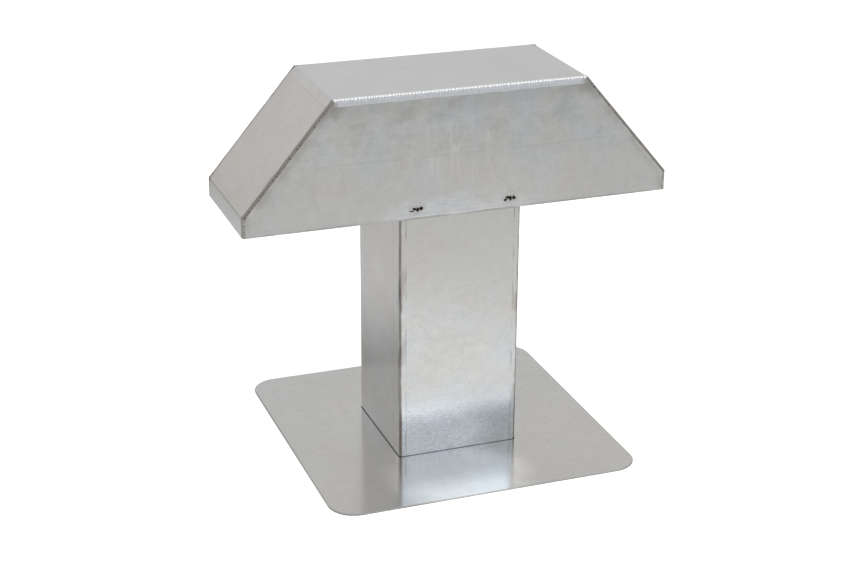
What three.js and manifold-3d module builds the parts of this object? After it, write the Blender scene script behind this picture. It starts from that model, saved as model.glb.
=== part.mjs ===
// Passive roof vent in welded sheet aluminium: a square flange, a folded square duct and a
// trapezoidal hood that lets the air out through the two mouths on either side of the duct.
// Millimetres, +Z up. The origin is the centre of the flange's underside, +X runs along the
// hood and -Y points out of its front panel.

import * as THREE from "three";
import { mergeVertices } from "three/addons/utils/BufferGeometryUtils.js";
import Module from "manifold-3d";

// ---- driving dimensions ----

const SHEET = 1.5; // every blank is cut from the same sheet
const BEND = 1.5; // inside radius of a press-brake bend
const GAP = 0.3; // clearance kept between pieces that touch

const FLANGE = { size: 300, corner: 25 };
const DUCT = { size: 118, top: 288 }; // outside width, and the height of its open upper end
const HOOD = {
  length: 408, // over the two end lips
  roof: 240, // length of the flat roof, between the sharp corners of its bends
  rim: 240, // height of the lower edge
  lip: 18.5, // height of each upright end lip
  top: 357.5, // height of the roof's outer face
};

const BEAD = { lap: 1.3, crown: 2.0 }; // corner bead: overlap on either face, and its peak
const PLUG = { hole: 4, head: 6, crown: 1.2, spacing: 90, aboveRim: 9 }; // two radii first
const SEAM = { gap: 1.2, width: 4.8, crown: 0.8 }; // the butt weld that closes the duct
const GROOVE = 1.3; // weld chamfer under the flange's opening

const ARC_STEPS = 6; // segments in a bend
const BEAD_STEPS = 10; // segments across a bead's crown
const ROUND_STEPS = 24; // segments round a circle

// ---- worked out from them ----

const DUCT_HALF = DUCT.size / 2;
const OUTER_BEND = BEND + SHEET;
const PANEL_INNER = DUCT_HALF + GAP; // the side panels lie against the duct
const EDGE_GAP = GAP / 2; // each blank's share of the clearance at an open corner joint

// ---- materials ----

const aluminium = (color, roughness) =>
  new THREE.MeshStandardMaterial({ color, roughness, metalness: 1 });

const FLANGE_SHEET = aluminium(0xb9bab8, 0.32);
const DUCT_SHEET = aluminium(0xb7b8b6, 0.34);
const HOOD_SHEET = aluminium(0xb4b5b3, 0.38);
const WELD_METAL = aluminium(0xa19e99, 0.42);

// ---- solids ----

const wasm = await Module();
wasm.setup();

// A closed geometry as a manifold-3d solid.
function toSolid(geometry) {
  const bare = geometry.clone();
  bare.deleteAttribute("normal");
  bare.deleteAttribute("uv");
  const merged = mergeVertices(bare);
  return new wasm.Manifold(
    new wasm.Mesh({
      numProp: 3,
      vertProperties: merged.attributes.position.array,
      triVerts: new Uint32Array(merged.index.array),
    }),
  );
}

// A manifold-3d solid back as a geometry.
function toGeometry(solid) {
  const mesh = solid.getMesh();
  const geometry = new THREE.BufferGeometry();
  geometry.setAttribute("position", new THREE.BufferAttribute(mesh.vertProperties, 3));
  geometry.setIndex(new THREE.BufferAttribute(mesh.triVerts, 1));
  geometry.computeVertexNormals();
  return geometry;
}

// A closed solid between two rings of as many points. `section` is the same outline in 2D for
// the end caps, and both rings turn anticlockwise when seen from beyond the second.
function loft(section, first, second) {
  const count = section.length;
  const faces = [];
  for (let i = 0; i < count; i++) {
    const next = (i + 1) % count;
    faces.push(i, next, count + next, i, count + next, count + i);
  }
  for (const [a, b, c] of THREE.ShapeUtils.triangulateShape(section, [])) {
    faces.push(a, c, b, count + a, count + b, count + c);
  }
  const geometry = new THREE.BufferGeometry().setFromPoints([...first, ...second]);
  geometry.setIndex(faces);
  geometry.computeVertexNormals();
  return geometry;
}

function extrude(shape, depth) {
  const curveSegments = ROUND_STEPS / 2; // a curve is cut into twice as many
  return new THREE.ExtrudeGeometry(shape, { depth, curveSegments, bevelEnabled: false });
}

function piece(name, geometry, material) {
  const mesh = new THREE.Mesh(geometry, material);
  mesh.name = name;
  return mesh;
}

// ---- outlines ----

// An open polyline with each of its inner corners turned into an arc.
function roundCorners(corners, radius) {
  const points = [corners[0]];
  for (let i = 1; i < corners.length - 1; i++) {
    const before = corners[i].clone().sub(corners[i - 1]).normalize();
    const after = corners[i + 1].clone().sub(corners[i]).normalize();
    const turn = Math.atan2(before.cross(after), before.dot(after));
    const setback = radius * Math.tan(Math.abs(turn) / 2);
    const start = corners[i].clone().addScaledVector(before, -setback);
    const inward = new THREE.Vector2(-before.y, before.x).multiplyScalar(Math.sign(turn));
    const centre = start.clone().addScaledVector(inward, radius);
    for (let step = 0; step <= ARC_STEPS; step++) {
      points.push(start.clone().rotateAround(centre, (turn * step) / ARC_STEPS));
    }
  }
  points.push(corners[corners.length - 1]);
  return points;
}

// The cut face of a folded sheet, from the sharp corners of its outer and inner faces.
function foldedSheet(outer, inner) {
  const out = roundCorners(outer, OUTER_BEND);
  const back = roundCorners(inner, BEND).reverse();
  return new THREE.Shape([...out, ...back]);
}

// Adds a square with round corners to a shape or a path.
function addRoundedSquare(outline, half, radius) {
  const straight = half - radius;
  const corners = [[1, -1], [1, 1], [-1, 1], [-1, -1]];
  outline.moveTo(straight, -half);
  corners.forEach(([x, y], i) => {
    const start = ((i - 1) * Math.PI) / 2;
    outline.absarc(x * straight, y * straight, radius, start, start + Math.PI / 2);
  });
  outline.closePath();
  return outline;
}

// The hood's six profile corners in X and Z, from the left lip's foot over the roof to the
// right lip's foot, with every face moved in by `inset`.
function hoodCorners(inset) {
  const half = HOOD.length / 2;
  const shoulder = HOOD.rim + HOOD.lip;
  const slope = Math.atan2(HOOD.top - shoulder, half - HOOD.roof / 2);
  const roofEnd = HOOD.roof / 2 - inset * Math.tan(slope / 2);
  const lipTop = shoulder - inset * Math.tan(Math.PI / 4 - slope / 2);
  const right = [
    new THREE.Vector2(roofEnd, HOOD.top - inset),
    new THREE.Vector2(half - inset, lipTop),
    new THREE.Vector2(half - inset, HOOD.rim),
  ];
  const left = right.map(({ x, y }) => new THREE.Vector2(-x, y)).reverse();
  return [...left, ...right];
}

// ---- the flange ----

// The tapered groove under the flange's opening, moved in from its wall by `clearance`.
function grooveSolid(clearance) {
  const ring = (half, z) =>
    addRoundedSquare(new THREE.Path(), half, half - DUCT_HALF + OUTER_BEND)
      .getPoints(ROUND_STEPS / 4)
      .slice(0, -1)
      .map(({ x, y }) => new THREE.Vector3(x, y, z));
  const height = GROOVE - clearance;
  const lower = ring(PANEL_INNER + height, 0);
  return toSolid(loft(lower.map(({ x, y }) => new THREE.Vector2(x, y)), lower,
    ring(PANEL_INNER, height)));
}

function ductHole(top) {
  const shape = addRoundedSquare(new THREE.Shape(), PANEL_INNER, OUTER_BEND + GAP);
  const geometry = extrude(shape, top + 2 * GAP);
  geometry.translate(0, 0, -GAP);
  return toSolid(geometry);
}

function flange() {
  const shape = addRoundedSquare(new THREE.Shape(), FLANGE.size / 2, FLANGE.corner);
  const blank = toSolid(extrude(shape, SHEET));
  return toGeometry(blank.subtract(ductHole(SHEET)).subtract(grooveSolid(0)));
}

// The run of weld that fills the groove, dressed flush with the flange's underside.
function flangeWeld() {
  return toGeometry(grooveSolid(GAP).subtract(ductHole(GROOVE)));
}

// ---- the duct ----

function duct() {
  const corners = (half) => {
    const edge = SEAM.gap / 2;
    return [[edge, half], [half, half], [half, -half], [-half, -half], [-half, half], [-edge, half]]
      .map(([x, y]) => new THREE.Vector2(x, y));
  };
  return extrude(foldedSheet(corners(DUCT_HALF), corners(DUCT_HALF - SHEET)), DUCT.top);
}

// The butt weld down the middle of the duct's back wall. Inside the hood its crown is dressed
// away, so that the back panel lies flat.
function ductSeamWeld() {
  const root = SEAM.gap / 2 - GAP;
  const rootShape = new THREE.Shape([
    new THREE.Vector2(-root, DUCT_HALF - SHEET),
    new THREE.Vector2(root, DUCT_HALF - SHEET),
    new THREE.Vector2(root, DUCT_HALF),
    new THREE.Vector2(-root, DUCT_HALF),
  ]);
  const foot = DUCT_HALF + GAP;
  const crownShape = new THREE.Shape([
    new THREE.Vector2(-root, DUCT_HALF - GAP),
    new THREE.Vector2(root, DUCT_HALF - GAP),
    new THREE.Vector2(root, foot),
  ]);
  for (let step = 0; step <= BEAD_STEPS; step++) {
    const angle = (Math.PI * step) / BEAD_STEPS;
    const x = (SEAM.width / 2) * Math.cos(angle);
    crownShape.lineTo(x, foot + SEAM.crown * Math.sin(angle));
  }
  crownShape.lineTo(-root, foot);
  const crownStart = SHEET + GAP;
  const crown = extrude(crownShape, HOOD.rim - GAP - crownStart);
  crown.translate(0, 0, crownStart);
  return toGeometry(toSolid(extrude(rootShape, DUCT.top)).add(toSolid(crown)));
}

// ---- the hood ----

// Roof, slopes and end lips, folded from one strip.
function hoodCover() {
  const width = 2 * (PANEL_INNER - EDGE_GAP);
  const mesh = piece(
    "hood_cover",
    extrude(foldedSheet(hoodCorners(0), hoodCorners(SHEET)), width),
    HOOD_SHEET,
  );
  mesh.rotation.x = Math.PI / 2;
  mesh.position.y = width / 2;
  return mesh;
}

// A flat side panel, with the two holes that it is plug-welded through. `side` is -1 at the
// front and 1 at the back.
function hoodPanel(name, side) {
  const outline = roundCorners(hoodCorners(SHEET + EDGE_GAP), BEND - EDGE_GAP);
  const shape = new THREE.Shape(outline);
  for (const x of [-PLUG.spacing / 2, PLUG.spacing / 2]) {
    shape.holes.push(new THREE.Path().absarc(x, HOOD.rim + PLUG.aboveRim, PLUG.hole, 0, 2 * Math.PI));
  }
  const mesh = piece(name, extrude(shape, SHEET), HOOD_SHEET);
  mesh.rotation.x = Math.PI / 2;
  mesh.position.y = side < 0 ? -PANEL_INNER : PANEL_INNER + SHEET;
  return mesh;
}

// A corner bead's section: first axis out of the panel, second out of the cover, from the
// corner where their inside faces meet.
function beadSection() {
  const face = SHEET + GAP;
  const { lap, crown } = BEAD;
  const middle = (2 * crown ** 2 - face ** 2 - lap ** 2) / (2 * (lap - face + 2 * crown));
  const centre = new THREE.Vector2(middle, middle);
  const toe = new THREE.Vector2(face, -lap);
  const turn = Math.PI / 2 - 2 * Math.atan2(toe.y - middle, toe.x - middle);
  const section = [
    new THREE.Vector2(EDGE_GAP, EDGE_GAP),
    new THREE.Vector2(face, EDGE_GAP),
  ];
  for (let step = 0; step <= BEAD_STEPS; step++) {
    section.push(toe.clone().rotateAround(centre, (turn * step) / BEAD_STEPS));
  }
  section.push(new THREE.Vector2(EDGE_GAP, face));
  return section;
}

// The bead between a side panel and one straight run of the cover, mitred to its neighbours.
function cornerBead(name, side, run) {
  const section = beadSection();
  const [from, to] = hoodCorners(SHEET).slice(run, run + 2);
  const along = to.clone().sub(from).setLength(EDGE_GAP);
  const ring = (corner, shift) =>
    section.map(({ x: out, y: up }) => {
      const point = hoodCorners(SHEET - up)[corner].addScaledVector(along, shift);
      return new THREE.Vector3(point.x, side * (PANEL_INNER + out), point.y);
    });
  const start = ring(run, 1);
  const end = ring(run + 1, -1);
  const rings = side > 0 ? [start, end] : [end, start];
  return piece(name, loft(section, ...rings), WELD_METAL);
}

// A plug weld: its stem fills the panel's hole, and its low crown stands on the panel.
function plugWeld(name, side, x) {
  const stem = PLUG.hole - GAP;
  const underHead = SHEET + GAP;
  const profile = [[0, 0], [stem, 0], [stem, underHead]];
  for (let step = 0; step <= ARC_STEPS; step++) {
    const angle = ((Math.PI / 2) * step) / ARC_STEPS;
    const radius = step === ARC_STEPS ? 0 : PLUG.head * Math.cos(angle);
    profile.push([radius, underHead + PLUG.crown * Math.sin(angle)]);
  }
  const points = profile.map(([radius, height]) => new THREE.Vector2(radius, height));
  const mesh = piece(name, new THREE.LatheGeometry(points, ROUND_STEPS), WELD_METAL);
  mesh.rotation.x = side < 0 ? Math.PI : 0;
  mesh.position.set(x, side * PANEL_INNER, HOOD.rim + PLUG.aboveRim);
  return mesh;
}

// ---- the assembly ----

const vent = new THREE.Group();
vent.add(
  piece("flange_plate", flange(), FLANGE_SHEET),
  piece("flange_weld", flangeWeld(), WELD_METAL),
  piece("duct", duct(), DUCT_SHEET),
  piece("duct_seam_weld", ductSeamWeld(), WELD_METAL),
  hoodCover(),
);

const RUNS = ["left_lip", "left_slope", "roof", "right_slope", "right_lip"];
for (const [face, side] of [["front", -1], ["back", 1]]) {
  vent.add(hoodPanel(`hood_${face}_panel`, side));
  RUNS.forEach((run, i) => vent.add(cornerBead(`${face}_${run}_weld`, side, i)));
  vent.add(plugWeld(`${face}_left_plug_weld`, side, -PLUG.spacing / 2));
  vent.add(plugWeld(`${face}_right_plug_weld`, side, PLUG.spacing / 2));
}

export default vent;
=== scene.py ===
"""The looks of the welded sheet-aluminium roof vent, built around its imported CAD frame."""

import math

import bmesh
import bpy
import numpy as np
from mathutils import Matrix, Vector, noise


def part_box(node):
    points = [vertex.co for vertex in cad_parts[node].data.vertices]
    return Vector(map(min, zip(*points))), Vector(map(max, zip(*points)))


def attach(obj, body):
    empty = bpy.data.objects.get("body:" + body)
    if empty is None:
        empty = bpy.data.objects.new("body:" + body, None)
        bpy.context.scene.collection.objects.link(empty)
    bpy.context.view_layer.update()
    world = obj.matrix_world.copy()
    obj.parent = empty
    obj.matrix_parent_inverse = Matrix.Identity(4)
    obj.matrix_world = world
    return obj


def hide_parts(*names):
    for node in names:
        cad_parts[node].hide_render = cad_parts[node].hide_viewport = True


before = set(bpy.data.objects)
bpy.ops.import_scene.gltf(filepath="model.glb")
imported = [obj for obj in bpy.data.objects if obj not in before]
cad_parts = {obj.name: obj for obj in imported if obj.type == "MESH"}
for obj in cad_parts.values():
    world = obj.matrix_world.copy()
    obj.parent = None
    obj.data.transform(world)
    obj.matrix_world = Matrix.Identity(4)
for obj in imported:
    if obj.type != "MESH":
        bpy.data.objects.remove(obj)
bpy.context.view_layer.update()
scene = bpy.context.scene

MM = 0.001

# ---- sizes, in metres, read from the frame ----

FLANGE_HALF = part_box("flange_plate")[1].x
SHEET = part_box("flange_plate")[1].z
DUCT_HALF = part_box("duct")[1].x
DUCT_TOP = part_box("duct")[1].z
HOOD_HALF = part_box("hood_cover")[1].x
COVER_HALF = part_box("hood_cover")[1].y
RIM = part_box("hood_cover")[0].z
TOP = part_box("hood_cover")[1].z
PANEL_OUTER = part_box("hood_back_panel")[1].y
PANEL_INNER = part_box("hood_back_panel")[0].y

# ---- sizes that the frame's boxes don't give, as in the CAD ----

FLANGE_CORNER = 25 * MM
ROOF_HALF = 120 * MM  # to the sharp corner of the bend
LIP = 18.5 * MM
INNER_BEND = 1.5 * MM
OUTER_BEND = INNER_BEND + SHEET
PANEL_INSET = PANEL_INNER - COVER_HALF + SHEET
GROOVE = 1.3 * MM
SEAM_GAP = 0.6 * MM  # half the butt gap down the duct's back

SLOPE = math.atan2(TOP - RIM - LIP, HOOD_HALF - ROOF_HALF)
SHOULDER = RIM + LIP

# ---- detail that only the looks need ----

EASE = 0.2 * MM  # how far a sheared edge is rounded over
SUPPORT = 1 * MM  # first grid line in from an edge
STRIDE = 6 * MM  # grid spacing on flat sheet
BEND_STEPS = 10
DIE = 9 * MM  # how far the press brake's die marks lie from a bend
HOOD_DIP = 0.2 * MM  # how far the hood's sheet falls away between die mark and bend
DUCT_DIP = 0.08 * MM  # the same on the duct
EDGE_SHARP = math.radians(32)
EDGE_TRACE = 0.35  # how much of a cut edge's dark colour its eased rim takes
FADE = 18 * MM  # over what distance a sheet's waves die away towards an edge or bend
WAVES = {  # how far each sheet waves in and out, over what distance, and a seed
    "flange": (0.10 * MM, 140 * MM, 3),
    "duct": (0.16 * MM, 110 * MM, 11),
    "cover": (0.35 * MM, 90 * MM, 23),
    "panel": (0.5 * MM, 80 * MM, 31),
}
FLANGE_LIFT = 0.06 * MM  # raises the flange's waves, which are cut off at its flat face

# ---- camera ----

CAMERA_AT = Vector((-0.5548, -1.4868, 0.7901))
CAMERA_AZIMUTH = math.radians(-20.03)
CAMERA_ELEVATION = math.radians(22.02)
CAMERA_ROLL = math.radians(0.28)
CAMERA_LENS = 76.05


def make_camera():
    data = bpy.data.cameras.new("camera")
    data.lens = CAMERA_LENS
    data.clip_end = 50
    camera = bpy.data.objects.new("camera", data)
    scene.collection.objects.link(camera)
    turn = Matrix.Rotation(CAMERA_AZIMUTH, 4, "Z")
    tilt = Matrix.Rotation(math.pi / 2 - CAMERA_ELEVATION, 4, "X")
    roll = Matrix.Rotation(CAMERA_ROLL, 4, "Z")
    camera.matrix_world = Matrix.Translation(CAMERA_AT) @ turn @ tilt @ roll
    scene.camera = camera


# ---- materials ----


class Nodes:
    """A material's node tree, with short calls for its nodes. Places and sizes are in
    millimetres."""

    def __init__(self, name):
        self.material = bpy.data.materials.new(name)
        self.material.use_nodes = True
        self.tree = self.material.node_tree
        self.tree.nodes.clear()
        self.out = self.tree.nodes.new("ShaderNodeOutputMaterial")
        metres = self.node("TexCoord", {}, output="Object")
        self.place = self.vector("MULTIPLY", metres, (1000, 1000, 1000))

    def feed(self, socket, value):
        if isinstance(value, bpy.types.NodeSocket):
            self.tree.links.new(value, socket)
        elif socket.type == "RGBA":
            socket.default_value = (*value, 1)
        else:
            socket.default_value = value

    def node(self, kind, inputs, output=0, **settings):
        node = self.tree.nodes.new("ShaderNode" + kind)
        for key, value in settings.items():
            setattr(node, key, value)
        for key, value in inputs.items():
            self.feed(node.inputs[key], value)
        return node.outputs[output]

    def math(self, operation, a, b=0.0, c=0.0):
        return self.node("Math", {0: a, 1: b, 2: c}, operation=operation)

    def vector(self, operation, a, b, c=(0, 0, 0), output=0):
        return self.node("VectorMath", {0: a, 1: b, 2: c}, output, operation=operation)

    def line(self, a, factor, offset=0.0):
        """a * factor + offset"""
        return self.math("MULTIPLY_ADD", a, factor, offset)

    def mixed(self, mask, first, second):
        return self.node("Mix", {0: mask, 6: first, 7: second}, output=2, data_type="RGBA")

    def axis(self, name):
        return self.node("SeparateXYZ", {0: self.place}, output=name)

    def away(self, name):
        """How far a point lies from the vent's middle along that axis."""
        return self.math("ABSOLUTE", self.axis(name))

    def attribute(self, name):
        return self.node("Attribute", {}, output="Fac", attribute_name=name)

    def step(self, value, low, high):
        """0 below low and 1 above high, or the other way round where low is the larger."""
        inputs = {"Value": value, "From Min": low, "From Max": high}
        return self.node("MapRange", inputs, interpolation_type="SMOOTHSTEP")

    def groove(self, value, at, width):
        """1 in a thin line where the value is `at`."""
        gap = self.math("ABSOLUTE", self.line(value, 1, -at))
        return self.step(gap, width, 0.3 * width)

    def noise(self, size, detail=3.0, rough=0.55, seed=0.0):
        """Noise from about 0.3 to 0.7, with features of that size, or of those three."""
        sizes = size if isinstance(size, tuple) else (size, size, size)
        scale = tuple(1 / s for s in sizes)
        place = self.vector("MULTIPLY_ADD", self.place, scale, (seed, 3.3 * seed, 7.1 * seed))
        inputs = {"Vector": place, "Scale": 1, "Detail": detail, "Roughness": rough}
        return self.node("TexNoise", inputs, output="Fac")

    def drift(self, size, detail=3.0, rough=0.55, seed=0.0):
        """The same noise, centred on 0."""
        return self.line(self.noise(size, detail, rough, seed), 1, -0.5)

    def spot(self, centre, radius, ragged=0.0, size=3.0, core=0.5):
        """1 inside a soft round patch whose outline wanders by up to about `ragged`."""
        distance = self.vector("DISTANCE", self.place, centre, output="Value")
        if ragged:
            distance = self.math("ADD", distance, self.line(self.drift(size), 4 * ragged))
        return self.step(distance, radius, core * radius)

    def specks(self, cell, radius, share, seed=0.0):
        """Scattered dots, in that share of the cells of a random pattern."""
        place = self.vector("MULTIPLY_ADD", self.place, (1 / cell,) * 3, (seed,) * 3)
        distance = self.node("TexVoronoi", {"Vector": place, "Scale": 1}, output="Distance")
        pick = self.node("SeparateColor", {0: distance.node.outputs["Color"]})
        chosen = self.math("LESS_THAN", pick, share)
        return self.both(chosen, self.step(distance, 1.3 * radius / cell, 0.6 * radius / cell))

    def both(self, *masks):
        result = masks[0]
        for mask in masks[1:]:
            result = self.math("MULTIPLY", result, mask)
        return result

    def either(self, *masks):
        result = masks[0]
        for mask in masks[1:]:
            result = self.math("MAXIMUM", result, mask)
        return result

    def without(self, mask):
        return self.line(mask, -1, 1)


class Metal(Nodes):
    """A bare metal surface whose colour, roughness and bumps are built up in steps."""

    def __init__(self, name, colour, roughness, anisotropy=0.0):
        super().__init__(name)
        self.colour = colour
        self.roughness = roughness
        self.bumps = []
        self.inputs = {"Metallic": 1.0}
        if anisotropy:
            tangent = self.node("Tangent", {}, direction_type="UV_MAP", uv_map="spread")
            self.inputs.update({"Anisotropic": anisotropy, "Tangent": tangent})

    def shade(self, mask, amount):
        """Brightens (amount above 0) or darkens the colour where the mask is 1."""
        inputs = {0: self.colour, "Scale": self.line(mask, amount, 1.0)}
        self.colour = self.node("VectorMath", inputs, operation="SCALE")

    def tint(self, mask, colour):
        """Turns the colour into this one where the mask is 1."""
        self.colour = self.mixed(mask, self.colour, colour)

    def gloss(self, mask, amount):
        """Adds to the roughness where the mask is 1."""
        self.roughness = self.line(mask, amount, self.roughness)

    def bump(self, height, depth):
        self.bumps.append((height, depth * MM))

    def finish(self):
        inputs = {**self.inputs, "Base Color": self.colour, "Roughness": self.roughness}
        for height, depth in self.bumps:
            before = {"Normal": inputs["Normal"]} if "Normal" in inputs else {}
            inputs["Normal"] = self.node("Bump", {**before, "Height": height, "Distance": depth})
        shader = self.node("BsdfPrincipled", inputs)
        self.feed(self.out.inputs["Surface"], shader)
        return self.material


COOL = (0.645, 0.655, 0.68)
PLAIN = (0.66, 0.66, 0.65)
WARM = (0.665, 0.64, 0.60)
ROSY = (0.60, 0.50, 0.47)
# A painted bluish shade, for the low part of the duct.
PAINTED_BLUE_SHADE = (0.37, 0.385, 0.42)
BROWN = (0.22, 0.165, 0.125)
SCORCH = (0.24, 0.17, 0.11)
SMOKE = (0.34, 0.31, 0.28)
SOOT = (0.035, 0.028, 0.022)
# Brushed metal, paler and bluer with a painted sheen.
BRUSHED_WITH_SHEEN = (0.76, 0.765, 0.79)
BLACK = (0.012, 0.011, 0.010)

# Places that the materials need, in millimetres.
FRONT = -PANEL_OUTER / MM
ROOF_END = ROOF_HALF / MM
HOOD_END = HOOD_HALF / MM
HOOD_TOP = TOP / MM
HOOD_RIM = RIM / MM
HOOD_SHOULDER = SHOULDER / MM
FLANGE_TOP = SHEET / MM
DIE_MARK = DIE / MM
PLUG_MIDDLES = [(-43, FRONT, 250), (47, FRONT, 250)]  # of the nuggets in front


def toned(colour, tone):
    return tuple(tone * c for c in colour)


def mill_finish(name, tone, roughness, anisotropy, grain, mottle=1.0):
    """Rolled aluminium: warm and cool clouds, mottling, fine grain and handling marks.
    `grain` is the length of the rolling marks along each axis, and `mottle` how blotchy the
    sheet is."""
    s = Metal(name, toned(PLAIN, tone), roughness, anisotropy)
    cast = s.noise(48, 2, seed=4)
    s.tint(s.line(s.step(cast, 0.46, 0.66), 0.55 * mottle), toned(WARM, tone))
    s.tint(s.line(s.step(cast, 0.54, 0.34), 0.55 * mottle), toned(COOL, tone))
    clouds = s.drift(80)
    s.shade(clouds, 0.20 * mottle)
    s.gloss(clouds, -0.06 * mottle)
    s.shade(s.drift(9, 4, seed=2), 0.22 * mottle)
    s.shade(s.drift(1.9, 3, seed=5), 0.26)
    rolling = s.drift(grain, 3)
    s.shade(rolling, 0.16)
    s.gloss(rolling, 0.05)
    # Specks of dirt, water marks and the dark cut edges.
    s.shade(s.specks(5.5, 0.75, 0.07), -0.34)
    s.shade(s.specks(17, 3.4, 0.16, seed=3), -0.055)
    cut = s.attribute("edge")
    s.shade(cut, -0.62)
    s.gloss(cut, 0.2)
    s.bump(rolling, 0.003)
    s.bump(s.noise(16, 2, seed=8), 0.010)
    return s


def flange_material():
    s = mill_finish("flange_sheet", tone=0.925, roughness=0.175, anisotropy=0.72,
                    grain=(70, 0.9, 70), mottle=0.45)
    front = s.step(s.axis("Y"), 60, -140)
    s.tint(s.line(front, 0.30), WARM)
    # Wiped and scratched, parallel to the front edge.
    scratch = s.step(s.noise((38, 0.8, 38), 2, seed=6), 0.60, 0.70)
    s.shade(s.both(scratch, s.step(s.noise(24, seed=1), 0.48, 0.6)), 0.10)
    s.shade(s.step(s.noise((14, 6, 14), 3, seed=9), 0.62, 0.74), -0.05)
    # Brighter in front of the duct: partly polished metal, partly a painted brighter reflection
    # of the duct's foot.
    wiped = s.spot((-18, -108, 0), 78, 5, 26)
    s.shade(wiped, 0.50)
    rubbed = s.step(s.noise((26, 1.6, 26), 3, rough=0.65, seed=2), 0.56, 0.70)
    s.shade(s.both(wiped, rubbed), 0.07)
    return s.finish()


def duct_material():
    s = mill_finish("duct_sheet", tone=1.0, roughness=0.235, anisotropy=0.50,
                    grain=(30, 30, 0.9), mottle=1.05)
    half = DUCT_HALF / MM
    x = s.line(s.away("X"), -1, half)
    y = s.line(s.away("Y"), -1, half)
    height = s.axis("Z")
    faces = s.step(y, 0.9, 0.3)  # front and back
    sides = s.step(x, 0.9, 0.3)
    from_bend = s.math("MAXIMUM", x, y)
    # Warmer towards the hood.
    s.tint(s.line(s.step(height, 100, 200), 0.45), WARM)
    patchy = s.noise((9, 9, 34), 3, seed=2)
    # Die lines beside each bend, with a stained strip between.
    strip = s.both(s.step(from_bend, 7, 5.6), s.step(patchy, 0.50, 0.64))
    s.tint(s.line(strip, 0.30), BROWN)
    die = s.both(faces, s.groove(from_bend, 6.4, 0.75), s.step(patchy, 0.40, 0.58))
    s.shade(die, -0.30)
    s.shade(s.both(sides, s.groove(from_bend, 17, 1.6)), -0.10)
    # The rubbed outside of each bend.
    ragged = s.line(s.drift((3, 3, 12), 3, seed=7), 1.6)
    rub = s.step(s.math("ADD", s.math("ADD", x, y), ragged), 2.5, 1.9)
    s.tint(s.line(rub, 0.60), BROWN)
    s.tint(s.both(rub, s.line(s.step(patchy, 0.48, 0.66), 0.25)), SOOT)
    # Darker and bluer low on the front and back: partly a duller finish, partly painted shade and
    # a painted bluish reflection; and painted shade in the joint with the flange.
    fringe = s.line(s.drift((4, 4, 1.6), 4, rough=0.7, seed=3), 18)
    foot = s.both(faces, s.step(s.math("ADD", height, fringe), 52, 28))
    s.shade(foot, -0.42)
    s.gloss(foot, 0.03)
    s.tint(s.line(foot, 0.25), PAINTED_BLUE_SHADE)
    s.shade(s.both(foot, s.drift((3, 3, 1.1), 3, rough=0.7, seed=1)), 0.8)
    # Painted shade in the joint with the flange, strongest on the sides.
    joint_shade = s.step(height, FLANGE_TOP + 0.9, FLANGE_TOP + 0.4)
    s.tint(s.line(s.both(joint_shade, s.line(faces, -0.5, 1)), 0.7), SOOT)
    # The hood's shadow line.
    from_rim = s.math("ABSOLUTE", s.line(height, 1, -HOOD_RIM))
    s.shade(s.step(from_rim, 1.5, 0.7), -0.3)
    return s.finish()


def panel_material():
    tone = 0.975
    s = mill_finish("hood_panel_sheet", tone, roughness=0.32, anisotropy=0.45,
                    grain=(36, 36, 0.9), mottle=1.3)
    x, height = s.away("X"), s.axis("Z")
    below = s.line(height, -1, HOOD_TOP)
    above = s.line(height, 1, -HOOD_RIM)
    s.tint(s.line(s.step(below, 60, 25), 0.25), toned(WARM, tone))
    s.tint(s.line(s.step(above, 90, 25), 0.45), toned(WARM, tone))
    # A faint line across, wiped marks in the middle and a few darker patches.
    s.shade(s.both(s.groove(below, 60, 1.6), s.step(s.noise(30, seed=3), 0.42, 0.56)), -0.06)
    wiped = s.step(s.noise((5, 5, 30), 2, seed=2), 0.48, 0.66)
    s.shade(s.both(wiped, s.spot((-6, FRONT, 303), 45)), 0.07)
    s.shade(s.step(s.noise((12, 12, 20), 4, seed=7), 0.58, 0.74), -0.07)
    panel_weld_marks(s, x, height, below)
    panel_brushing(s, x, below, above)
    # Painted shade along the lower edge, where it meets the duct.
    s.shade(s.both(s.step(above, 1.6, 0.8), s.step(s.noise(30, seed=8), 0.36, 0.58)), -0.32)
    return s.finish()


def panel_weld_marks(s, x, height, below):
    """Heat and smoke beside the roof weld, and beside the slope and lip welds."""
    heat = s.step(s.math("ADD", below, s.line(s.drift(16, 4), 24)), 28, 6)
    s.shade(heat, -0.11)
    smudges = s.step(s.noise((28, 28, 15), 4, seed=11), 0.48, 0.68)
    s.shade(s.both(s.step(below, 85, 20), smudges), -0.11)
    # Smoke below the roof weld's middle and at its ends.
    s.tint(s.both(s.spot((-7, FRONT, 341), 9, 2.5), s.line(heat, 0.4)), SMOKE)
    for end in (-ROOF_END, ROOF_END):
        s.tint(s.line(s.spot((end, FRONT, 353), 15, 2), 0.40), SMOKE)
    s.tint(s.line(s.spot((-118, FRONT, 340), 4, 0.6, 2), 0.14), BROWN)
    # A smoky strip along the slope and lip welds, with a paler line in it.
    across = s.line(x, math.sin(SLOPE), -math.sin(SLOPE) * HOOD_END)
    up = s.line(height, math.cos(SLOPE), -math.cos(SLOPE) * HOOD_SHOULDER)
    from_slope = s.line(s.math("ADD", across, up), -1)
    from_lip = s.line(x, -1, HOOD_END)
    from_weld = s.math("MINIMUM", from_slope, from_lip)
    smoky = s.both(s.step(from_weld, 13, 3), s.step(s.noise(22, 4, seed=5), 0.34, 0.60))
    s.tint(s.line(smoky, 0.42), SMOKE)
    s.shade(s.groove(from_weld, 3.5, 1.0), 0.08)


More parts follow.
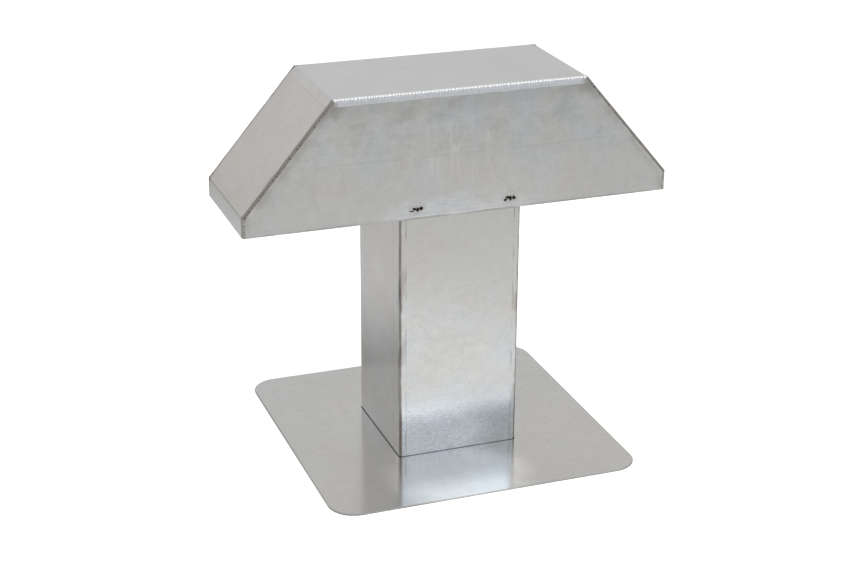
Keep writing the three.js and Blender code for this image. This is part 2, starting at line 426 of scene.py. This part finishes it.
def panel_brushing(s, x, below, above):
    """Ground bright along the roof weld, and wire-brushed round the plug welds; their pale bluish
    colour is partly a painted sheen.
    """
    band = s.step(s.math("ADD", below, s.line(s.drift(22, 3), 2.2)), 7.3, 6.3)
    band = s.both(band, s.step(x, ROOF_END + 1, ROOF_END - 7))
    s.tint(s.line(band, 0.96), BRUSHED_WITH_SHEEN)
    s.shade(s.both(band, s.drift((1.4, 1.4, 6), 2)), 0.3)
    wander = s.line(s.drift(30, 4, seed=2), 46)
    low = s.step(s.math("ADD", above, wander), 23, 8)
    patch = s.both(low, s.step(s.math("ADD", x, s.line(wander, 1.6)), 86, 40))
    brush = s.drift((12, 12, 1.6), 3, rough=0.7, seed=4)
    s.tint(s.line(patch, 0.50), BRUSHED_WITH_SHEEN)
    s.shade(s.both(patch, brush), 0.55)
    s.shade(s.both(patch, s.step(above, 3.8, 1.6)), 0.10)
    sooty = s.step(s.noise(1.3, 2, seed=6), 0.54, 0.62)
    for middle in PLUG_MIDDLES:
        s.shade(s.both(s.spot(middle, 11, 2), sooty), -0.28)


def cover_material():
    s = mill_finish("hood_cover_sheet", tone=1.0, roughness=0.30, anisotropy=0.5,
                    grain=(36, 0.9, 36))
    x, height = s.away("X"), s.axis("Z")
    run = 1 / math.cos(SLOPE)
    down = s.line(x, run, -run * ROOF_END)  # distance down the slope from the roof bend
    length = (HOOD_END - ROOF_END) * run
    slope = s.step(down, 0, 2)
    roof = s.without(slope)
    patchy = s.noise(20, 3, seed=3)
    # Die marks beside the bends.
    s.shade(s.both(slope, s.step(down, DIE_MARK + 0.5, DIE_MARK - 0.5)), 0.035)
    s.shade(s.both(s.groove(down, DIE_MARK, 0.8), s.step(patchy, 0.36, 0.56)), -0.16)
    s.shade(s.both(s.groove(x, ROOF_END - DIE_MARK, 0.6), s.step(patchy, 0.50, 0.66)), -0.07)
    s.shade(s.both(s.groove(down, length - 5, 1.2), s.step(patchy, 0.40, 0.60)), -0.10)
    # A warm bloom towards the foot of the slope, and stains beside its welds.
    s.tint(s.line(slope, 0.35), WARM)
    foot = s.both(s.step(down, 60, 118), s.step(s.noise(26, 3, seed=1), 0.44, 0.66))
    above_lip = s.step(height, HOOD_SHOULDER - 1.5, HOOD_SHOULDER + 3.5)
    s.tint(s.line(s.both(foot, above_lip), 0.30), ROSY)
    side = s.line(s.away("Y"), -1, COVER_HALF / MM)
    stain = s.both(slope, s.step(side, 7, 1), s.step(s.noise(14, 3), 0.42, 0.66))
    s.tint(s.line(stain, 0.30), SMOKE)
    # Painted light: paler lips, slopes a little lighter and a cooler, lighter roof, as light
    # falls on each face. The roof is also rubbed bright along its welds.
    lip = s.step(height, HOOD_SHOULDER + 0.5, HOOD_SHOULDER - 2.5)
    s.tint(s.line(lip, 0.8), PLAIN)
    s.shade(lip, 0.20)
    s.shade(s.both(roof, s.step(side, 4, 1)), 0.06)
    # Painted light: the slopes a little lighter and the roof cooler and lighter.
    s.shade(slope, 0.03)
    s.tint(s.line(roof, 0.5), toned(COOL, 1.06))
    return s.finish()


def bead_material(name, colour, roughness, toe_soot_and_shade, valley_shade):
    """Weld metal. The ripples are in the mesh: `valley` is 1 between two of them, where painted
    shade darkens the colour by the given amount, and `across` goes from -1 at one toe to 1 at
    the other."""
    s = Metal(name, colour, roughness)
    fine = s.drift(1.1, 3)
    s.shade(fine, 0.30)
    s.gloss(s.drift(3, 3), 0.2)
    across, valley = s.attribute("across"), s.attribute("valley")
    # Painted shade in the valleys between ripples.
    s.shade(s.step(valley, 0.15, 0.75), -valley_shade)
    # Soot and painted undercut shade along both toes and the first valleys on the panel side.
    toe = s.step(s.math("ABSOLUTE", across), 0.66, 0.92)
    first = s.both(s.step(across, -0.05, -0.5), s.step(valley, 0.15, 0.7))
    patchy_soot_and_shade = s.step(s.noise(7, 4, seed=2), 0.30, 0.62)
    s.tint(s.line(s.both(s.either(toe, first), patchy_soot_and_shade), toe_soot_and_shade), SOOT)
    s.bump(fine, 0.06)
    return s.finish()


def plug_material():
    s = Metal("plug_weld_metal", (0.62, 0.62, 0.63), 0.52)
    fine = s.drift(1.2, 4)
    s.shade(fine, 0.5)
    pit = s.math("ADD", s.attribute("pit"), s.line(fine, 1.1))
    s.tint(s.line(s.step(pit, 0.12, 0.34), 0.75), SCORCH)
    s.tint(s.line(s.step(pit, 0.34, 0.58), 0.92), BLACK)
    s.gloss(s.step(pit, 0.2, 0.5), 0.4)
    s.bump(fine, 0.12)
    return s.finish()


# ---- meshes ----


def unit(vectors):
    return vectors / np.linalg.norm(vectors, axis=-1, keepdims=True)


def grid_faces(index, wrap_rows=False, wrap_columns=False):
    """Four-sided faces over a 2D array of vertex numbers."""
    if wrap_rows:
        index = np.vstack([index, index[:1]])
    if wrap_columns:
        index = np.hstack([index, index[:, :1]])
    corners = [index[:-1, :-1], index[1:, :-1], index[1:, 1:], index[:-1, 1:]]
    return np.stack(corners, -1).reshape(-1, 4).tolist()


def new_piece(name, points, faces, material, node, slot, sharp, **values):
    """A closed mesh that stands for that CAD node, with a named value at each point."""
    mesh = bpy.data.meshes.new(name)
    mesh.from_pydata([tuple(p) for p in points], [], faces)
    work = bmesh.new()
    work.from_mesh(mesh)
    bmesh.ops.recalc_face_normals(work, faces=work.faces)
    work.to_mesh(mesh)
    work.free()
    mesh.shade_smooth()
    mesh.set_sharp_from_angle(angle=sharp)
    mesh.materials.append(material)
    for label, value in values.items():
        layer = mesh.attributes.new(label, "FLOAT", "POINT")
        layer.data.foreach_set("value", np.array(value, np.float32).ravel())
    piece = bpy.data.objects.new(name, mesh)
    scene.collection.objects.link(piece)
    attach(piece, "root")
    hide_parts(node)
    return piece


def add_spread(piece, spread):
    """A UV map whose U runs along `spread` on every face: highlights blur that way, which is
    across the sheet's grain."""
    mesh = piece.data
    layer = mesh.uv_layers.new(name="spread")
    for face in mesh.polygons:
        normal = face.normal
        along = spread - normal * normal.dot(spread)
        if along.length < 0.2:
            along = normal.orthogonal()
        along.normalize()
        across = normal.cross(along)
        for loop in face.loop_indices:
            point = mesh.vertices[mesh.loops[loop].vertex_index].co
            layer.data[loop].uv = (point.dot(along), point.dot(across))


def waviness(points, amplitude, size, seed):
    """A slow random height for each point."""
    shift = Vector((seed, 2.7 * seed, 5.1 * seed))
    flat = [noise.noise(Vector(p) / size + shift) for p in points.reshape(-1, 3)]
    return amplitude * np.array(flat).reshape(points.shape[:-1])


def stops(length):
    """Distances along an edge: both ends, a line close to each, and even steps between."""
    count = max(2, round((length - 2 * SUPPORT) / STRIDE) + 1)
    return np.concatenate([[0], np.linspace(SUPPORT, length - SUPPORT, count), [length]])


def ways_out(face, ring):
    """At each grid point on a cut edge, the direction out of the sheet. Zero elsewhere."""
    out = np.zeros_like(face)
    out[:, 0] += unit(face[:, 0] - face[:, 1])
    out[:, -1] += unit(face[:, -1] - face[:, -2])
    if not ring:
        out[0] += unit(face[0] - face[1])
        out[-1] += unit(face[-1] - face[-2])
    return out


def cut_edges(number, ring):
    """The vertex numbers round each cut edge. A ring has two, any other sheet has one."""
    if ring:
        return [number[:, 0], number[:, -1]]
    sides = [number[0, :-1], number[:-1, -1], number[-1, :0:-1], number[:0:-1, 0]]
    return [np.concatenate(sides)]


def make_sheet(name, face, normal, material, node, slot, spread, ring=False, chamfer=EASE):
    """A sheet whose outer face is a grid of points. Its cut edges are eased. A ring closes on
    itself along its rows, and `chamfer` cuts the underside of its first edge."""
    rows, columns = face.shape[:2]
    total = rows * columns
    number = np.arange(total).reshape(rows, columns)
    out = ways_out(face, ring)
    ease = np.full((rows, columns, 1), EASE)
    ease[:, 0] = chamfer
    top = face - EASE * out
    bottom = face - SHEET * normal - ease * out
    upper = (face - EASE * normal).reshape(-1, 3)
    lower = (face - (SHEET - ease) * normal).reshape(-1, 3)
    points = [top.reshape(-1, 3), bottom.reshape(-1, 3)]
    faces = grid_faces(number, wrap_rows=ring)
    faces += grid_faces(number + total, wrap_rows=ring)
    edge = np.zeros(total)
    start = 2 * total
    for border in cut_edges(number, ring):
        count = len(border)
        edge[border] = EDGE_TRACE
        points += [upper[border], lower[border]]
        second = start + np.arange(count)
        wall = np.array([border, second, second + count, border + total])
        faces += grid_faces(wall, wrap_columns=True)
        start += 2 * count
    edge = np.concatenate([edge, edge, np.ones(start - 2 * total)])
    points = np.concatenate(points)
    piece = new_piece(name, points, faces, material, node, slot, EDGE_SHARP, edge=edge)
    add_spread(piece, spread)


# ---- folded sheet ----


def folded(corners, radius):
    """The straight runs and bends of a folded line: where each starts, which way, how long it
    is and how far it turns."""
    corners = [Vector(c) for c in corners]
    ways = [(b - a).normalized() for a, b in zip(corners, corners[1:])]
    turns = [a.angle_signed(b) for a, b in zip(ways, ways[1:])]
    cuts = [0, *[radius * math.tan(abs(t) / 2) for t in turns], 0]
    parts = []
    for i, way in enumerate(ways):
        start = corners[i] + way * cuts[i]
        length = (corners[i + 1] - start).length - cuts[i + 1]
        parts.append((start, way, length, 0))
        if i < len(turns):
            parts.append((start + way * length, way, radius * abs(turns[i]), turns[i]))
    return parts


def walk(part, distance):
    """The point that far along a straight run or bend, and its left-hand normal."""
    start, way, length, turn = part
    normal = Vector((-way.y, way.x))
    if not turn:
        return start + way * distance, normal
    radius = length / abs(turn)
    arm = Matrix.Rotation(-turn * distance / length, 2) @ normal
    return start + (arm - normal) * radius, arm


def straight_stops(length, before, after):
    """Stops along a straight run, with extra ones at the die mark of each bend beside it."""
    found = set(stops(length).tolist())
    marks = [DIE - 0.5 * MM, DIE, DIE + 0.5 * MM]
    if before and length > 3 * DIE:
        found |= set(marks)
    if after and length > 3 * DIE:
        found |= {length - mark for mark in marks}
    ordered = sorted(found)
    return [a for a, b in zip(ordered, ordered[1:] + [math.inf]) if b - a > 0.1 * MM]


def bent_path(corners):
    """Points along a folded sheet's outer face, the normals there, and how far each lies from
    the nearest bend."""
    parts = folded(corners, OUTER_BEND)
    points, normals, away = [], [], []
    for i, part in enumerate(parts):
        length = part[2]
        if part[3]:
            along = [length * step / BEND_STEPS for step in range(1, BEND_STEPS)]
        else:
            along = straight_stops(length, i > 0, i < len(parts) - 1)
        for distance in along:
            point, normal = walk(part, distance)
            points.append(point)
            normals.append(normal)
            from_start = distance if i > 0 else math.inf
            from_end = length - distance if i < len(parts) - 1 else math.inf
            away.append(0 if part[3] else min(from_start, from_end))
    return np.array(points), np.array(normals), np.array(away)


def edge_fade(distance):
    """0 at an edge and 1 beyond FADE, so that a wavy sheet still meets its neighbours."""
    t = np.clip(distance / FADE, 0, 1)
    return t * t * (3 - 2 * t)


def die_dip(away, depth):
    """How the sheet's face falls from 0 at the die mark to -depth at the bend."""
    return -depth * np.clip(1 - away / DIE, 0, 1)


# ---- the flange ----


def rounded_square(half, radius, corner_steps=10, side_steps=44):
    """Points round a square, with as many on each side and corner whatever its size."""
    points = []
    straight = half - radius
    for quarter in range(4):
        turn = Matrix.Rotation(quarter * math.pi / 2, 2)
        for step in range(side_steps):
            point = Vector((half, straight * (2 * step / side_steps - 1)))
            points.append(turn @ point)
        for step in range(corner_steps):
            angle = math.pi / 2 * step / corner_steps
            corner = Vector((straight, straight))
            arm = Vector((math.cos(angle), math.sin(angle))) * radius
            points.append(turn @ (corner + arm))
    return np.array(points)


def make_flange(material):
    hole = rounded_square(PANEL_INNER, PANEL_INNER - DUCT_HALF + OUTER_BEND)
    rim = rounded_square(FLANGE_HALF, FLANGE_CORNER)
    width = FLANGE_HALF - PANEL_INNER
    shares = stops(width)[None, :, None] / width
    plan = hole[:, None] * (1 - shares) + rim[:, None] * shares
    face = np.concatenate([plan, np.full((*plan.shape[:2], 1), SHEET)], -1)
    normal = np.zeros_like(face)
    normal[..., 2] = 1
    inward = FLANGE_HALF - np.abs(plan).max(-1)
    lift = waviness(face, *WAVES["flange"]) + FLANGE_LIFT
    face[..., 2] += np.maximum(lift, 0) * edge_fade(width - inward) * edge_fade(inward)
    make_sheet("flange_sheet_piece", face, normal, material, "flange_plate", "flange_sheet",
               Vector((0, 1, 0)), ring=True, chamfer=GROOVE)


# ---- the duct ----


def make_duct(material):
    edge, half = SEAM_GAP, DUCT_HALF
    corners = [(edge, half), (half, half), (half, -half), (-half, -half), (-half, half)]
    path, arms, away = bent_path([*corners, (-edge, half)])
    heights = stops(DUCT_TOP)
    face = np.zeros((len(path), len(heights), 3))
    face[..., :2] = path[:, None]
    face[..., 2] = heights
    normal = np.zeros_like(face)
    normal[..., :2] = arms[:, None]
    ends = np.clip(np.minimum(heights - SHEET, np.abs(heights - RIM)), 0, None)
    seam = np.linalg.norm(path - [0, half], axis=1)
    fade = edge_fade(np.minimum(away, seam))[:, None] * edge_fade(ends)
    wave = waviness(face, *WAVES["duct"]) * fade
    face += normal * (wave + die_dip(away, DUCT_DIP)[:, None])[..., None]
    make_sheet("duct_sheet_piece", face, normal, material, "duct", "duct_sheet",
               Vector((0, 0, 1)))


# ---- the hood ----


def hood_corners(inset):
    """The hood's six profile corners in X and Z, with every face moved in by `inset`."""
    roof_end = ROOF_HALF - inset * math.tan(SLOPE / 2)
    lip_top = SHOULDER - inset * math.tan(math.pi / 4 - SLOPE / 2)
    half = HOOD_HALF - inset
    right = [(roof_end, TOP - inset), (half, lip_top), (half, RIM)]
    left = [(-x, z) for x, z in reversed(right)]
    return left + right


def make_cover(material):
    path, arms, away = bent_path(hood_corners(0))
    across = stops(2 * COVER_HALF) - COVER_HALF
    face = np.zeros((len(path), len(across), 3))
    face[..., 0] = path[:, None, 0]
    face[..., 1] = across
    face[..., 2] = path[:, None, 1]
    normal = np.zeros_like(face)
    normal[..., 0] = arms[:, None, 0]
    normal[..., 2] = arms[:, None, 1]
    fade = edge_fade(away)[:, None] * edge_fade(COVER_HALF - np.abs(across))
    wave = waviness(face, *WAVES["cover"]) * fade
    face += normal * (wave + die_dip(away, HOOD_DIP)[:, None])[..., None]
    make_sheet("hood_cover_sheet_piece", face, normal, material, "hood_cover", "hood_sheet",
               Vector((0, 1, 0)))


def panel_ceiling(x):
    """The height of a side panel's upper edge."""
    corners = hood_corners(PANEL_INSET)[1:5]
    return np.interp(x, [c[0] for c in corners], [c[1] for c in corners])


def make_panel(label, side, material):
    half = HOOD_HALF - PANEL_INSET
    roof_end = hood_corners(PANEL_INSET)[3][0]
    flank = stops(half - roof_end)
    middle = stops(2 * roof_end)[1:-1] - roof_end
    columns = np.concatenate([flank - half, middle, roof_end + flank])
    # Rows from the lower edge to the upper one, closer together near both.
    shares = np.array([0, 0.03, *np.linspace(0.08, 0.92, 18), 0.97, 1])
    face = np.zeros((len(columns), len(shares), 3))
    ceiling = panel_ceiling(columns)
    face[..., 0] = columns[:, None]
    face[..., 2] = RIM + (ceiling - RIM)[:, None] * shares
    below = (ceiling[:, None] - face[..., 2]) * math.cos(SLOPE)
    from_end = (half - np.abs(columns))[:, None]
    fade = edge_fade(np.minimum(below, from_end)) * edge_fade(face[..., 2] - RIM)
    amplitude, size, seed = WAVES["panel"]
    wave = waviness(face, amplitude, size, seed + side) * fade
    face[..., 1] = side * (PANEL_OUTER + wave)
    normal = np.zeros_like(face)
    normal[..., 1] = side
    make_sheet(f"hood_{label}_panel_piece", face, normal, material, f"hood_{label}_panel",
               "hood_sheet", Vector((0, 0, 1)))


# ---- welds ----

BEAD_STEPS = 16
BEAD_ADVANCE = 0.35 * MM
BEAD_FOOT = 1.4 * MM  # how far a bead rounds off at its free end
BEAD_CORE = 0.9 * MM  # the point it rounds off towards, out from the sheets' inner corner
HEEL = 0.1 * MM  # how close its hidden side comes to that corner
BEAD_BOW = 0.9 * MM  # how far a ripple's middle runs ahead of its ends
BEND_SHARE = 0.49  # how much of a bend each of the two runs that meet there takes
RUNS = ["left_lip", "left_slope", "roof", "right_slope", "right_lip"]
RUN_BEADS = {  # reach over each sheet, angle to it, ripple pitch and depth
    "lip": (3.2 * MM, math.radians(24), 3.1 * MM, 0.16 * MM),
    "slope": (2.6 * MM, math.radians(26), 3.1 * MM, 0.12 * MM),
    "roof": (2.2 * MM, math.radians(20), 2.8 * MM, 0.17 * MM),
}


def ripple(along, across, pitch, bow, seed):
    """0 in the valley between two weld ripples and 1 on a crest. Each ripple is a crescent."""
    wander = 0.30 * pitch * math.sin(along / pitch * 0.61 + seed)
    wander += 0.16 * pitch * math.sin(along / pitch * 1.73 + 2 * seed)
    phase = (along + wander + bow * across * across) / pitch
    part = 2 * (phase - math.floor(phase)) - 1
    return 1 - part * part


def bead_section(along, ends, shape, seed):
    """Outline of a corner bead at a station: how far each point lies out of the panel's inner
    face and the cover's, with its valley and across values. `ends` is the distance to the
    nearer end of the run."""
    reach, contact, pitch, depth = shape
    radius = reach / math.sqrt(2) / math.sin(math.pi / 4 + contact)
    centre = SHEET - reach / 2 - radius * math.cos(math.pi / 4 + contact) / math.sqrt(2)
    # Uneven along the run, and thicker at its ends.
    swell = 0.04 * math.sin(along / (7 * MM) + seed) + 0.03 * math.sin(along / (2.9 * MM))
    swell = swell * MM + 0.12 * MM * math.exp(-(ends / (1.8 * MM)) ** 2)
    outline = []
    for step in range(BEAD_STEPS + 1):
        across = 2 * step / BEAD_STEPS - 1
        crest = ripple(along, across, pitch, BEAD_BOW, seed)
        here = max(radius + swell + depth * (crest - 0.6), (SHEET - centre) * 1.01)
        toe = -math.acos((SHEET - centre) / here)
        angle = math.pi / 4 + across * (math.pi / 4 - toe)
        out = centre + here * math.cos(angle)
        up = centre + here * math.sin(angle)
        outline.append((out, up, 1 - crest, across))
    return [*outline, (HEEL, SHEET, 0, 1), (HEEL, HEEL, 0, 0), (SHEET, HEEL, 0, -1)]


def run_stations(run):
    """Stops along one run of the cover's inner face: point, outward normal and how far along.
    A run ends just short of half way round the bends beside it."""
    parts = folded(hood_corners(SHEET), INNER_BEND)
    spans = [(parts[2 * run], 0, 1)]
    if run > 0:
        spans.insert(0, (parts[2 * run - 1], 1 - BEND_SHARE, 1))
    if run < len(RUNS) - 1:
        spans.append((parts[2 * run + 1], 0, BEND_SHARE))
    stations, along = [], 0
    for part, first, last in spans:
        length = part[2] * (last - first)
        travelled = length * (OUTER_BEND / INNER_BEND if part[3] else 1)
        count = max(4, round(travelled / BEAD_ADVANCE))
        for step in range(count):
            share = first + (last - first) * step / count
            stations.append((*walk(part, part[2] * share), along))
            along += travelled / count
    stations.append((*walk(part, part[2] * last), along))
    return stations


def make_loft(name, rings, values, material, node):
    """A closed piece through rings of points, with the valley and across value of each."""
    rings = np.array(rings)
    values = np.array(values)
    number = np.arange(rings.shape[0] * rings.shape[1]).reshape(rings.shape[:2])
    faces = grid_faces(number, wrap_columns=True)
    faces += [number[0].tolist(), number[-1].tolist()]
    new_piece(name, rings.reshape(-1, 3), faces, material, node, "weld_metal",
              math.radians(50), valley=values[..., 0], across=values[..., 1])


def make_corner_bead(label, side, run, materials):
    """The bead between a side panel and one run of the cover."""
    seed = 3.1 * run + 1.7 * side
    kind = RUNS[run].split("_")[-1]
    shape = RUN_BEADS[kind]
    stations = run_stations(run)
    total = stations[-1][2]
    rings, values = [], []
    for point, normal, along in stations:
        from_foot = {0: along, len(RUNS) - 1: total - along}.get(run, math.inf)
        grown = 0.3 + 0.7 * math.sqrt(min(1, from_foot / BEAD_FOOT))
        section = bead_section(along, min(along, total - along), shape, seed)
        ring = []
        for out, up, _, _ in section:
            out = BEAD_CORE + (out - BEAD_CORE) * grown
            spot = point + normal * (BEAD_CORE + (up - BEAD_CORE) * grown)
            ring.append((spot.x, side * (PANEL_INNER + out), spot.y))
        rings.append(ring)
        values.append([(valley, across) for _, _, valley, across in section])
    node = f"{label}_{RUNS[run]}_weld"
    make_loft(f"{node}_bead", rings, values, materials[kind], node)


def make_duct_seam(material):
    """The butt weld down the duct's back: a rippled crown as far as the hood, flush inside."""
    pitch, bow, seed = 3.0 * MM, 1.0 * MM, 4.0
    crown, crown_half, toe = 0.72 * MM, 2.3 * MM, 0.05 * MM
    start, taper = SHEET + 0.3 * MM, 0.6 * MM
    rings, values = [], []
    for z in np.arange(0, DUCT_TOP + BEAD_ADVANCE / 2, BEAD_ADVANCE):
        proud = float(np.clip(min(z - start, RIM - z) / taper, 0, 1))
        half_width = SEAM_GAP + (crown_half - SEAM_GAP) * proud
        ring, value = [], []
        for step in range(BEAD_STEPS + 1):
            across = 2 * step / BEAD_STEPS - 1
            crest = ripple(z, across, pitch, bow, seed)
            height = crown * (1 - across * across) * (0.75 + 0.25 * crest) * proud
            ring.append((half_width * across, DUCT_HALF + toe + height, z))
            value.append((1 - crest, across))
        ring += [(SEAM_GAP, DUCT_HALF - SHEET, z), (-SEAM_GAP, DUCT_HALF - SHEET, z)]
        rings.append(ring)
        values.append([*value, (0, 1), (0, -1)])
    make_loft("duct_seam_bead", rings, values, material, "duct_seam_weld")


PLUG_RINGS = 36
PLUG_SPOKES = 80
PLUG_HALF = (7.6, 4.6)  # a nugget's half width and half height, in millimetres
PLUG_ROOT = 0.2 * MM  # how far it goes into the panel
PLUG_SHIFT = 2 * MM  # a nugget's middle, beside its hole's
PLUG_PITS = {  # each pit's place and its half sizes, in millimetres from the nugget's middle
    "left": [(-2.4, 0.4, 1.7, 1.2), (0.7, -0.3, 1.5, 1.9), (4.0, 0.5, 1.6, 1.5),
             (-5.6, -1.6, 2.6, 0.6)],
    "right": [(-2.0, 1.2, 2.2, 1.1), (0.4, 0.2, 1.3, 2.0), (3.8, 0.6, 1.7, 1.7),
              (-4.5, -0.9, 1.5, 1.1)],
}
PLUG_DIMPLE = (-1.7, -2.8)  # the place of a shallow dimple, likewise


def pit_depth(x, z, pits):
    """1 in the middle of a burnt pit, falling to 0 around it."""
    return max(math.exp(-((x - px) / rx) ** 2 - ((z - pz) / rz) ** 2) for px, pz, rx, rz in pits)


def nugget_height(x, z, pit, seed):
    """How far a nugget would stand out there, in millimetres, if it didn't fall to its rim."""
    rough = noise.noise(Vector((x, z, 0)) * 0.7 + seed)
    dimple = math.exp(-((x - PLUG_DIMPLE[0]) ** 2 + (z - PLUG_DIMPLE[1]) ** 2) / 1.6)
    return 0.15 + max(0, 0.35 + 0.4 * rough - 0.5 * pit - 0.2 * dimple)


def make_plug(node, side, material):
    """A plug weld: a low uneven nugget with burnt pits in it."""
    low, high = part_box(node)
    centre = (low + high) / 2
    pits = PLUG_PITS["left" if "left" in node else "right"]
    seed = Vector((centre.x * 40, side * 3.0, 0.5))
    points, burnt = [], []
    for ring in range(PLUG_RINGS + 1):
        share = ring / PLUG_RINGS
        dome = 1 - share ** 2
        for spoke in range(PLUG_SPOKES):
            angle = 2 * math.pi * spoke / PLUG_SPOKES
            ray = Vector((math.cos(angle), math.sin(angle), 0))
            ragged = 1 + 0.14 * noise.noise(ray * 1.6 + seed) + 0.05 * noise.noise(ray * 5 + seed)
            x = PLUG_HALF[0] * share * ray.x * ragged
            z = PLUG_HALF[1] * share * ray.y * ragged
            pit = pit_depth(x, z, pits)
            out = PANEL_OUTER + nugget_height(x, z, pit, seed) * dome * MM
            points.append((centre.x + PLUG_SHIFT + x * MM, side * out, centre.z + z * MM))
            burnt.append(pit)
    hidden = side * (PANEL_OUTER - PLUG_ROOT)
    back = [(x, hidden, z) for x, _, z in points[-PLUG_SPOKES:]]
    points = points[PLUG_SPOKES - 1:] + back
    burnt = burnt[PLUG_SPOKES - 1:] + [0] * PLUG_SPOKES
    number = np.arange(1, len(points)).reshape(-1, PLUG_SPOKES)
    faces = grid_faces(number, wrap_columns=True)
    faces += [[0, a, b] for a, b in zip(number[0], np.roll(number[0], -1))]
    faces.append(number[-1].tolist())
    new_piece(f"{node}_nugget", points, faces, material, node, "weld_metal", math.radians(70),
              pit=burnt)


# ---- stage and light ----

ROOM_COLOUR = (1.0, 0.99, 0.98, 1)
ROOM_STRENGTH = 0.50
FLOOR_HALF = 12
FLOOR_DROP = 0.3 * MM  # how far it lies below the flange's underside
FLOOR_PALE = (0.35, 0.35, 0.35)
FLOOR_GLOW = 0.83  # what the camera sees on top of the pale floor
FLOOR_DULL = (0.44, 0.44, 0.435)
FLOOR_PATCHES = [  # centre, radius and colour of the lit and dark parts that the metal mirrors
    ((20, -200, 0), 340, (0.64, 0.645, 0.65)),
    ((-340, 520, 0), 460, (0.56, 0.56, 0.57)),
    ((-420, -220, 0), 240, (0.33, 0.31, 0.28)),
]


def emitter(name, at, aim, width, height, power, colour, mirrored=True):
    """A soft box that the camera doesn't see, and the metal mirrors only where `mirrored`."""
    data = bpy.data.lights.new(name, "AREA")
    data.shape = "RECTANGLE"
    data.size = width
    data.size_y = height
    data.energy = power
    data.color = colour
    light = bpy.data.objects.new(name, data)
    scene.collection.objects.link(light)
    light.location = at
    light.rotation_euler = (Vector(aim) - Vector(at)).to_track_quat("-Z", "Y").to_euler()
    light.visible_camera = False
    light.visible_glossy = mirrored


def floor_material():
    """Near white where the camera sees it. What the metal mirrors is a duller studio floor,
    with pools of light and a dark side."""
    s = Nodes("floor")
    colour = FLOOR_DULL
    for centre, radius, patch in FLOOR_PATCHES:
        colour = s.mixed(s.spot(centre, radius, core=0.2), colour, patch)
    mirrored = s.node("BsdfDiffuse", {"Color": colour})
    pale = s.node("BsdfDiffuse", {"Color": FLOOR_PALE})
    glow = s.node("Emission", {"Strength": FLOOR_GLOW})
    seen = s.node("AddShader", {0: pale, 1: glow})
    by_camera = s.node("LightPath", {}, output="Is Camera Ray")
    s.feed(s.out.inputs["Surface"], s.node("MixShader", {0: by_camera, 1: mirrored, 2: seen}))
    return s.material


def make_floor():
    mesh = bpy.data.meshes.new("floor")
    far = FLOOR_HALF
    corners = [(-far, -far, 0), (far, -far, 0), (far, far, 0), (-far, far, 0)]
    mesh.from_pydata(corners, [], [(0, 1, 2, 3)])
    mesh.materials.append(floor_material())
    floor = bpy.data.objects.new("floor", mesh)
    scene.collection.objects.link(floor)
    floor.location.z = -FLOOR_DROP


def make_world():
    """White where the camera sees it, and a dimmer room around the metal."""
    world = bpy.data.worlds.new("world")
    world.use_nodes = True
    tree = world.node_tree
    room = tree.nodes["Background"]
    room.inputs["Color"].default_value = ROOM_COLOUR
    room.inputs["Strength"].default_value = ROOM_STRENGTH
    white = tree.nodes.new("ShaderNodeBackground")
    white.inputs["Color"].default_value = (1, 1, 1, 1)
    pick = tree.nodes.new("ShaderNodeMixShader")
    path = tree.nodes.new("ShaderNodeLightPath")
    tree.links.new(path.outputs["Is Camera Ray"], pick.inputs[0])
    tree.links.new(room.outputs[0], pick.inputs[1])
    tree.links.new(white.outputs[0], pick.inputs[2])
    tree.links.new(pick.outputs[0], tree.nodes["World Output"].inputs["Surface"])
    scene.world = world


def make_light():
    white, cool = (1, 1, 1), (0.74, 0.87, 1.0)
    emitter("overhead", at=(0.2, -0.3, 1.6), aim=(0.1, -0.15, 0),
            width=2.6, height=2.6, power=11, colour=white)
    emitter("floor_fill", at=(0.35, -0.45, 1.45), aim=(0, 0, 0),
            width=0.8, height=0.8, power=21, colour=white, mirrored=False)
    emitter("back_wall", at=(0.3, 1.9, 0.85), aim=(0.1, 0, 0.35),
            width=3.6, height=1.5, power=4, colour=white)
    emitter("front_right", at=(0.75, -1.5, 0.88), aim=(0, 0, 0.1),
            width=1.5, height=0.8, power=5.0, colour=cool)


# ---- the scene ----

make_camera()
scene.view_settings.view_transform = "Standard"
scene.view_settings.look = "None"
make_world()
make_floor()
make_light()

make_flange(flange_material())
make_duct(duct_material())
make_cover(cover_material())
side_sheet = panel_material()
bead_metals = {
    "roof": bead_material("bright_weld_metal", (0.88, 0.88, 0.88), roughness=0.26,
                          toe_soot_and_shade=0.10, valley_shade=0.28),
    "slope": bead_material("dull_weld_metal", (0.42, 0.385, 0.35), roughness=0.42,
                           toe_soot_and_shade=0.70, valley_shade=0.10),
    "lip": bead_material("pale_weld_metal", (0.60, 0.585, 0.56), roughness=0.40,
                         toe_soot_and_shade=0.60, valley_shade=0.12),
}
nugget = plug_material()
for label, side in [("front", -1), ("back", 1)]:
    make_panel(label, side, side_sheet)
    for run in range(len(RUNS)):
        make_corner_bead(label, side, run, bead_metals)
    for hand in ["left", "right"]:
        make_plug(f"{label}_{hand}_plug_weld", side, nugget)
make_duct_seam(bead_metals["slope"])
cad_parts["flange_weld"].data.materials.clear()
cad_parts["flange_weld"].data.materials.append(bead_metals["slope"])
